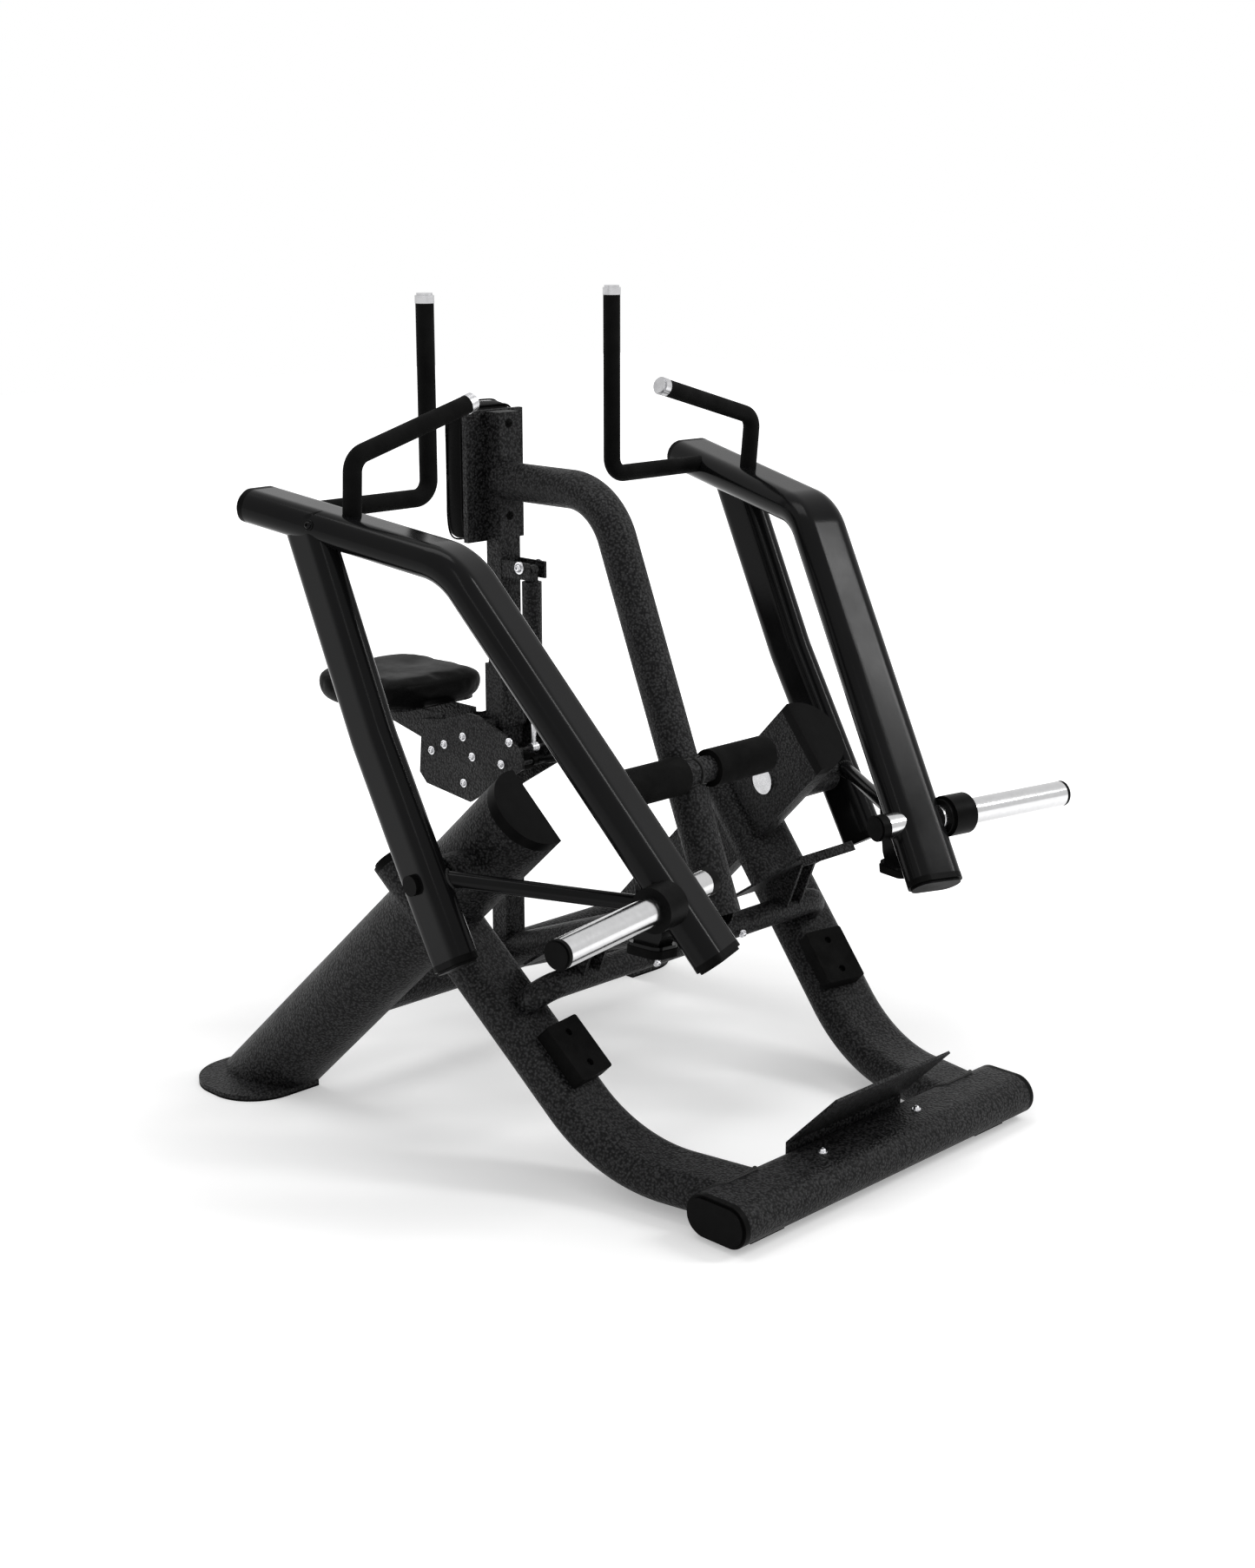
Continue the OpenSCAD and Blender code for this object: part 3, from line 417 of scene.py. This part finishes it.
def bead_along(path, radius, sides=10, ripple=0.13):
    """Round section carried along a closed path: at each point the section lies across the
    path's direction, and its radius swells and narrows by the ripple's share every four millimetres."""
    t = unit(np.roll(path, -1, 0) - np.roll(path, 1, 0))
    out = unit(path - path.mean(0))
    side = unit(np.cross(t, out))
    out = np.cross(side, t)
    run = np.concatenate([[0], np.cumsum(np.linalg.norm(np.diff(path, axis=0), axis=1))])
    whole = run[-1] + np.linalg.norm(path[0] - path[-1])
    turns = max(round(whole / 0.004), 1)
    r = radius * (1 + ripple * np.sin(2 * math.pi * turns * run / whole))
    angle = np.linspace(0, 2 * math.pi, sides, endpoint=False)
    return (path[:, None] + r[:, None, None] * (np.cos(angle)[None, :, None] * out[:, None]
            + np.sin(angle)[None, :, None] * side[:, None]))


def round_outline(diameter, count=96):
    """Points of a circle round the origin; diameter in millimetres."""
    angle = np.linspace(0, 2 * math.pi, count, endpoint=False)
    return np.stack([np.cos(angle), np.sin(angle)], 1) * diameter / 2000


def oval_outline(wide, thick, turn=0.0, arc=26, flat=8):
    """Flat oval: two half circles of the thickness, joined by two straight runs; wide along the
    first direction, then turned by some degrees."""
    half = thick / 2000
    reach = (wide - thick) / 2000
    angle = np.linspace(-math.pi / 2, math.pi / 2, arc)
    near = np.stack([reach + half * np.cos(angle), half * np.sin(angle)], 1)
    run = np.linspace(reach, -reach, flat + 2)[1:-1]
    above = np.stack([run, np.full(flat, half)], 1)
    ring = np.vstack([near, above, -near, -above])
    c, s = math.cos(math.radians(turn)), math.sin(math.radians(turn))
    return ring @ np.array([[c, s], [-s, c]])


def bent_line(a, corner, b, radius, steps=56, straight=23):
    """Line from a to b with one round bend at the corner: straight, then points of a circle that
    touches both straights, then straight. Gives the points, their directions, and the direction
    square to the bend's plane."""
    first, last = unit(corner - a), unit(b - corner)
    turn = math.acos(first @ last)
    flank = unit(np.cross(first, last))
    start = corner - first * radius * math.tan(turn / 2)
    inward = np.cross(flank, first)
    angle = np.linspace(0, turn, steps)[:, None]
    arc = start + radius * (np.sin(angle) * first + (1 - np.cos(angle)) * inward)
    way = np.cos(angle) * first + np.sin(angle) * inward
    share = np.linspace(0, 1, straight + 1)[:, None]
    points = np.vstack([(a + (start - a) * share)[:-1], arc, (arc[-1] + (b - arc[-1]) * share)[1:]])
    ways = np.vstack([np.repeat(first[None], straight, 0), way, np.repeat(last[None], straight, 0)])
    return points, ways, flank


def bent_tube(name, body, line, outline, coat, slot, side, *nodes):
    """Outline carried along a bent line: its first direction lies square to the bend's plane,
    its second turns with the bend. The side mirrors it. Flat ends close it."""
    points, ways, flank = line
    lift = np.cross(flank, ways)
    skin = points[:, None] - outline[None, :, :1] * flank + outline[None, :, 1:] * lift[:, None]
    skin = skin * [side, 1, 1]
    piece = skin_grid(name, skin, COATS[coat], closed_ends=True)
    edge = piece.modifiers.new("crisp_ends", "EDGE_SPLIT")
    edge.split_angle = math.radians(50)
    return settled(piece, body, slot, *nodes)


def from_round(line, way, diameter):
    """How far a point lies outside a round tube: its distance to the tube's line, less the radius."""
    way = unit(way)
    return lambda p: np.linalg.norm(np.cross(p - line, way), axis=-1) - diameter / 2000


def from_oval(line, way, flat, wide, thick):
    """How far a point lies outside a flat oval tube: its distance to the tube's middle strip, less
    half the thickness."""
    way = unit(way)
    flat = unit(flat - way * (flat @ way))
    deep = np.cross(way, flat)

    def gap(p):
        u = np.maximum(np.abs((p - line) @ flat) - (wide - thick) / 2000, 0)
        return np.hypot(u, (p - line) @ deep) - thick / 2000
    return gap


def from_plane(point, outward):
    """How far a point lies in front of a plane."""
    outward = unit(outward)
    return lambda p: (p - point) @ outward


def weld_bead(name, body, start, way, outline, flat, gap, reach, radius=0.0035):
    """Bead round a tube where it runs into another form. Every point of the tube's outline moves
    along the tube; the length at which the gap to the form is nought is halved in on, for all
    points at once, and a rippled bead is carried along what comes out."""
    way = unit(way)
    flat = unit(flat - way * (flat @ way))
    deep = np.cross(way, flat)
    edge = start + outline[:, :1] * flat + outline[:, 1:] * deep
    low, high = np.zeros(len(edge)), np.full(len(edge), reach)
    for _ in range(26):
        mid = (low + high) / 2
        outside = gap(edge + mid[:, None] * way) > 0
        low, high = np.where(outside, mid, low), np.where(outside, high, mid)
    path = edge + low[:, None] * way
    piece = skin_grid(name, bead_along(path, radius), COATS["weld"], wrap_v=True)
    return settled(piece, body, "arm_coat" if body.startswith("arm") else "frame_coat")


def button_head(count=48):
    """Round button head with a hexagon socket, one unit wide and high: rings from the middle of
    the socket's floor up its wall, over the dome, and down to a washer. The socket's ring keeps
    to a hexagon: its radius is the flat's distance divided by the cosine of the angle to that flat."""
    angle = np.linspace(0, 2 * math.pi, count, endpoint=False)
    hexagon = 1 / np.cos((angle + math.pi / 6) % (math.pi / 3) - math.pi / 6)
    # radius, height, and how far the ring keeps to the hexagon
    rings = np.array([(0.02, 0.45, 0), (0.26, 0.42, 1), (0.27, 0.94, 1), (0.31, 1.0, 0.4), (0.5, 0.97, 0),
                      (0.68, 0.86, 0), (0.82, 0.68, 0), (0.92, 0.46, 0), (0.94, 0.36, 0), (0.95, 0.3, 0),
                      (1.3, 0.3, 0), (1.35, 0.24, 0), (1.35, 0.0, 0)])
    r = rings[:, :1] * (1 + rings[:, 2:] * (hexagon - 1))
    z = np.broadcast_to(rings[:, 1:2], r.shape)
    return np.stack([r * np.cos(angle), r * np.sin(angle), z], -1)


def bolts(name, body, places, finish, slot, *nodes):
    """One mesh of many button heads. A place is a point, a direction outwards, and the head's
    diameter and height in millimetres."""
    head = button_head()
    rows, cols = head.shape[:2]
    verts, faces = [], []
    i = np.arange(rows - 1)[:, None]
    j = np.arange(cols)[None, :]
    quad = np.stack(np.broadcast_arrays(i * cols + j, i * cols + (j + 1) % cols,
                                        (i + 1) * cols + (j + 1) % cols, (i + 1) * cols + j), -1).reshape(-1, 4)
    cap = np.arange(cols)
    ahead = np.roll(cap, -1)
    last = (rows - 1) * cols
    floor = np.stack([ahead, cap, np.full(cols, rows * cols)], 1)
    under = np.stack([last + cap, last + ahead, np.full(cols, rows * cols + 1)], 1)
    for k, (at, out, wide, high) in enumerate(places):
        z = unit(np.array(out, float))
        x = unit(np.cross([0.31, 0.95, 0.12], z))
        size = [wide / 2000, wide / 2000, high / 1000]
        shape = np.vstack([head.reshape(-1, 3), [0, 0, 0.45], [0, 0, 0]]) * size
        verts.append(at + shape @ np.stack([x, np.cross(z, x), z]))
        shift = k * (rows * cols + 2)
        faces += (quad + shift).tolist() + (floor + shift).tolist() + (under + shift).tolist()
    mesh = bpy.data.meshes.new(name)
    mesh.from_pydata(np.vstack(verts).tolist(), [], faces)
    mesh.shade_smooth()
    mesh.materials.append(finish)
    piece = bpy.data.objects.new(name, mesh)
    bpy.context.scene.collection.objects.link(piece)
    crease = piece.modifiers.new("crisp_edges", "EDGE_SPLIT")
    crease.split_angle = math.radians(38)
    return settled(piece, body, slot, *nodes)


# ---- cushions --------------------------------------------------------------

def cushion_shape(wide, long, thick, power, draw, dish, around=192, up=72):
    """Upholstered block. Round its outline the corners follow a rounded square: cosine and sine
    raised to 2/power. From the board up, s shrinks and h rises along a quarter turn with full
    shoulders. The sides draw in between the corners by draw, and the top dips by dish along its middle."""
    angle = np.linspace(0, 2 * math.pi, around, endpoint=False) + 0.001
    u = np.sign(np.cos(angle)) * np.abs(np.cos(angle)) ** (2 / power)
    v = np.sign(np.sin(angle)) * np.abs(np.sin(angle)) ** (2 / power)
    t = np.linspace(0, 1, up)
    side = np.clip(t / 0.45, 0, 1)
    over = np.clip((t - 0.45) / 0.55, 0, 1)
    s = np.where(t < 0.45, 1 - 0.11 * (1 - side) ** 2.4 - 0.015 * side ** 3,
                 0.985 * np.cos(over * math.pi / 2 * 0.985) ** 0.42)
    h = np.where(t < 0.45, 0.62 * side, 0.62 + 0.38 * np.sin(over * math.pi / 2) ** 0.9)
    s, h = s[:, None], h[:, None]
    x = s * u * (wide / 2 - draw * (1 - v * v))
    y = s * v * (long / 2 - draw * (1 - u * u))
    z = thick * h - dish * h * (1 - (s * u) ** 2) * (1 - (s * v) ** 2)
    return np.stack([x, y, z], -1) / 1000


def swell(piece, axis, low, cap, voxel=0.005):
    """The cover pulled over its foam: the form is remeshed evenly, blown up as cloth from inside
    for twenty frames with its board side held, and no point may move further than the cap."""
    scene = bpy.context.scene
    bpy.context.view_layer.objects.active = piece
    even = piece.modifiers.new("even_mesh", "REMESH")
    even.mode = "VOXEL"
    even.voxel_size = voxel
    bpy.ops.object.modifier_apply(modifier=even.name)
    count = len(piece.data.vertices)
    before = np.empty(count * 3)
    piece.data.vertices.foreach_get("co", before)
    before = before.reshape(-1, 3)
    held = piece.vertex_groups.new(name="board_side")
    depth = np.abs(before[:, axis] - low)
    held_depth, frames = 0.010, 20
    held.add(np.nonzero(depth < held_depth)[0].tolist(), 1.0, "REPLACE")
    cover = piece.modifiers.new("cover", "CLOTH")
    cover.settings.use_pressure = True
    cover.settings.uniform_pressure_force = 4.0
    cover.settings.effector_weights.gravity = 0.0
    cover.settings.vertex_group_mass = "board_side"
    cover.settings.tension_stiffness = 40
    cover.settings.compression_stiffness = 40
    cover.settings.bending_stiffness = 6
    cover.point_cache.frame_start = 1
    cover.point_cache.frame_end = frames
    for number in range(1, frames + 1):
        scene.frame_set(number)
    shown = piece.evaluated_get(bpy.context.evaluated_depsgraph_get()).to_mesh()
    after = np.empty(count * 3)
    shown.vertices.foreach_get("co", after)
    move = after.reshape(-1, 3) - before
    far = np.linalg.norm(move, axis=1, keepdims=True)
    move *= np.minimum(1, cap / np.maximum(far, 1e-9))
    piece.modifiers.remove(cover)
    piece.data.vertices.foreach_set("co", (before + move).ravel())
    piece.data.update()
    scene.frame_set(1)
    smooth = piece.modifiers.new("even_out", "SMOOTH")
    smooth.factor = 0.5
    smooth.iterations = 4
    finer = piece.modifiers.new("finer", "SUBSURF")
    finer.levels = finer.render_levels = 1
    for name in (smooth.name, finer.name):
        bpy.ops.object.modifier_apply(modifier=name)
    piece.data.shade_smooth()


def seam_ring(name, points, body, radius=0.0022):
    """Piped seam: a round cord carried along one ring of the cushion's own grid."""
    piece = skin_grid(name, bead_along(points, radius, 12, 0.0), COATS["vinyl"], wrap_v=True)
    return settled(piece, body, "vinyl")


def saddle(shape):
    """The seat's block given its saddle form. Its sides and nose hang down by up to 14 mm past the
    board, rising with the distance beyond it; behind the nose the sides draw in by up to 14 mm,
    as a bell curve; and the top rises towards the rear and the nose by the square of the length."""
    x, y, z = shape[..., 0], shape[..., 1], shape[..., 2]
    low = np.clip(1 - z / 0.034, 0, 1)
    beside = np.clip((np.abs(x) - 0.100) / 0.048, 0, 1)
    before = np.clip((-y - 0.105) / 0.036, 0, 1)
    past = np.maximum(beside, before) ** 1.5
    waist = np.exp(-((y + 0.075) / 0.030) ** 2)
    x = x * (1 - 0.095 * waist * np.clip((np.abs(x) - 0.05) / 0.09, 0, 1))
    z = z - 0.014 * low * past + 0.006 * (1 - low) * (y / 0.14) ** 2 - 0.002
    return np.stack([x, y, z], -1)


def make_seat():
    """Saddle seat, dished front to back."""
    shape = saddle(cushion_shape(302, 282, 56, 3.6, 5, 6)) + SEAT_BOARD
    piece = skin_grid("seat_cushion", shape, COATS["vinyl"], closed_ends=True)
    turned_out(piece)
    swell(piece, 2, SEAT_BOARD[2] - 0.004, 0.004)
    settled(piece, "seat", "vinyl", "seat_pad")


def make_chest_pad():
    """Upright pad on its board; its sides are a deep band between two piped seams."""
    def stood(shape):
        return np.stack([shape[..., 0], shape[..., 2], -shape[..., 1]], -1) + CHEST_BOARD
    shape = stood(cushion_shape(144, 266, 71, 6, 2, 1))
    piece = skin_grid("chest_cushion", shape, COATS["vinyl"], closed_ends=True)
    turned_out(piece)
    swell(piece, 1, CHEST_BOARD[1], 0.003)
    settled(piece, "frame", "vinyl", "chest_pad")
    # the seams follow two of the rings of a block 4 mm larger
    rings = stood(cushion_shape(148, 270, 71, 6, 2, 1))
    near_board, near_face = 6, 34
    seam_ring("chest_seam_near_board", rings[near_board], "frame")
    seam_ring("chest_seam_near_face", rings[near_face], "frame", 0.0018)


# ---- tubes, welds and bolts ------------------------------------------------

def make_tubes():
    """The bent tubes of both arms, the front legs and the mast."""
    front = bent_line(ARM_TOP, ARM_BEND, ARM_LOW, 0.110)
    rear = bent_line(BACK_TOP, BACK_BEND, BACK_LOW, 0.300)
    leg_corner = LEG_START + LEG_YAW * LEG_RUN
    leg = bent_line(LEG_START, leg_corner, leg_corner + LEG_RISE * LEG_UP, 0.300)
    front_skin = oval_outline(ARM_WIDE, ARM_THICK, ARM_ROLL)
    rear_skin = oval_outline(BACK_WIDE, BACK_THICK, 90)
    leg_skin = oval_outline(LEG_WIDE, LEG_THICK)
    for side, hand in SIDES:
        arm = "arm_" + hand
        bent_tube("long_tube_" + hand, arm, front, front_skin, "arm", "arm_coat", side, "front_tube_" + hand)
        bent_tube("short_tube_" + hand, arm, rear, rear_skin, "arm", "arm_coat", side, "rear_tube_" + hand)
        bent_tube("leg_tube_" + hand, "frame", leg, leg_skin, "frame", "frame_coat", side, "front_leg_" + hand)
    mast = bent_line(MAST_TOP, MAST_BEND, MAST_FOOT, 0.130)
    bent_tube("mast_bend", "frame", mast, round_outline(MAST_ACROSS), "frame", "frame_coat", 1, "mast_tube")


def make_frame_welds():
    """Beads where the roller bar meets the mast, the rear cross tube the rear legs, and the front
    legs the base bar."""
    mast = from_round(MAST_FOOT, MAST_BEND - MAST_FOOT, MAST_ACROSS)
    leg_skin = oval_outline(LEG_WIDE, LEG_THICK, arc=110, flat=50)
    for side, hand in SIDES:
        across = np.array([-side, 0.0, 0.0])
        weld_bead("roller_bar_weld_" + hand, "frame", spot(side * 60, 428, 650), across,
                  round_outline(ROLLER_BAR_ACROSS), UP, mast, 0.06)
        foot = mirrored(REAR_FOOT, side)
        lean = unit(mirrored(REAR_TOP, side) - foot)
        inward = np.array([-side * abs(lean[1]), -abs(lean[0]), 0.0])
        weld_bead("rear_cross_weld_" + hand, "frame", spot(side * 300, 932, 184), -across,
                  round_outline(REAR_CROSS_ACROSS), UP, from_plane(foot, inward), 0.16)
        base = from_oval(spot(0, 0, 45.5), across, FRONT, BASE_WIDE, BASE_THICK)
        weld_bead("leg_weld_" + hand, "frame", spot(side * 310.2, 98.3, 49.5), -mirrored(LEG_YAW, side),
                  leg_skin, np.cross(LEG_YAW, UP) * [1, side, 1], base, 0.09)


def make_arm_welds():
    """Beads at both ends of the brace between the two tubes of an arm."""
    low_way = unit(ARM_LOW - ARM_BEND)
    flank = unit(np.cross(unit(ARM_BEND - ARM_TOP), low_way))
    roll = math.radians(ARM_ROLL)
    wide = -flank * math.cos(roll) + np.cross(flank, low_way) * math.sin(roll)
    rear_way = unit(BACK_LOW - BACK_BEND)
    rear_end = spot(534, 520, 548)
    front_height = 0.524
    front_end = ARM_BEND + low_way * ((front_height - ARM_BEND[2]) / low_way[2])
    middle = (rear_end + front_end) / 2
    brace_skin = round_outline(BRACE_ACROSS)
    for side, hand in SIDES:
        start = mirrored(middle, side)
        long_tube = from_oval(mirrored(ARM_BEND, side), mirrored(low_way, side), mirrored(wide, side),
                              ARM_WIDE, ARM_THICK)
        short_tube = from_oval(mirrored(BACK_LOW, side), rear_way, np.cross(rear_way, [1.0, 0, 0]),
                               BACK_WIDE, BACK_THICK)
        weld_bead("brace_front_weld_" + hand, "arm_" + hand, start, mirrored(front_end, side) - start,
                  brace_skin, UP, long_tube, 0.22)
        weld_bead("brace_rear_weld_" + hand, "arm_" + hand, start, mirrored(rear_end, side) - start,
                  brace_skin, UP, short_tube, 0.22)


def make_bolts():
    """Bright heads on the toe guard, the foot bar, the gas spring's ears and the seat carriage; black
    ones on the post, in the stop blocks and on the arms."""
    foot_bar_way = np.array([0.0, -0.98, -0.17])
    bright = [(spot(s * 129, 0, 83), UP, 12, 8) for s, _ in SIDES]
    bright += [(spot(s * 115, 408, 320), foot_bar_way, 12, 8) for s, _ in SIDES]
    bright += [(spot(s * 24, 860, 974), np.array([float(s), 0.0, 0.0]), 18, 10) for s, _ in SIDES]
    bolts("guard_bar_and_spring_bolts", "frame", bright, COATS["zinc"], "bright_steel", "frame_bolts")
    black = [(spot(0, 912, z), FRONT, 12, 6) for z in (1241, 1066)]
    for s, _ in SIDES:
        slope = unit(np.array([-s * 0.13, -0.7, 0.71]))
        black += [(spot(s * x, y, z), slope, 8, 4) for x, y, z in ((341.3, 355, 203), (349.6, 399.5, 248.5))]
    bolts("black_post_and_block_bolts", "frame", black, COATS["rubber"], "rubber")
    for side, hand in SIDES:
        on_arm = [(spot(side * 566, 794.7, 1118), np.array([side * 0.945, -0.251, 0.212]), 14, 7)]
        bolts("arm_top_bolt_" + hand, "arm_" + hand, on_arm, COATS["arm"], "arm_coat")
    plate_spots = [(1097, 582), (1058, 601), (1001, 626), (1001, 532), (889.7, 590), (974.3, 590), (866, 638)]
    heads = [(spot(s * 51, y, z), np.array([float(s), 0.0, 0.0]), 13, 7.5) for s, _ in SIDES
             for y, z in plate_spots]
    bolts("carriage_bolt_heads", "seat", heads, COATS["zinc"], "bright_steel", "carriage_bolts")


# ---- making ----------------------------------------------------------------

bpy.context.scene.view_settings.view_transform = "Standard"
set_camera()
set_world()
lay_floor()
soft_box("key_soft_box", place=(2.4, -2.8, 3.6), aim=(0, 0, 0.6), wide=0.45, high=2.2, watts=64)
soft_box("fill_soft_box", place=(-3.2, -2.2, 3.4), aim=(0, 0, 0.6), wide=0.35, high=2.4, watts=10)
soft_box("top_soft_box", place=(-0.4, 0.4, 4.2), aim=(0, 0, 0.4), wide=1.2, high=2.4, watts=36)

COATS = {"frame": wrinkle_coat(), "arm": gloss_coat(), "cap": moulded_plastic(), "rubber": black_rubber(),
         "vinyl": grained_vinyl(), "zinc": zinc_steel(), "chrome": satin_chrome(), "alu": turned_aluminium(),
         "weld": weld_coat()}
SLOT_COATS = {"frame_coat": "frame", "arm_coat": "arm", "cap_plastic": "cap", "rubber": "rubber",
              "vinyl": "vinyl", "bright_steel": "zinc", "chrome": "chrome", "bright_alu": "alu"}

for row in frame["record"]["subparts"]:
    node = frame["nodes"][row["node"]]
    node.data.materials.clear()
    node.data.materials.append(COATS[SLOT_COATS[row["material_slot"]]])

make_seat()
make_chest_pad()
make_tubes()
make_frame_welds()
make_arm_welds()
make_bolts()
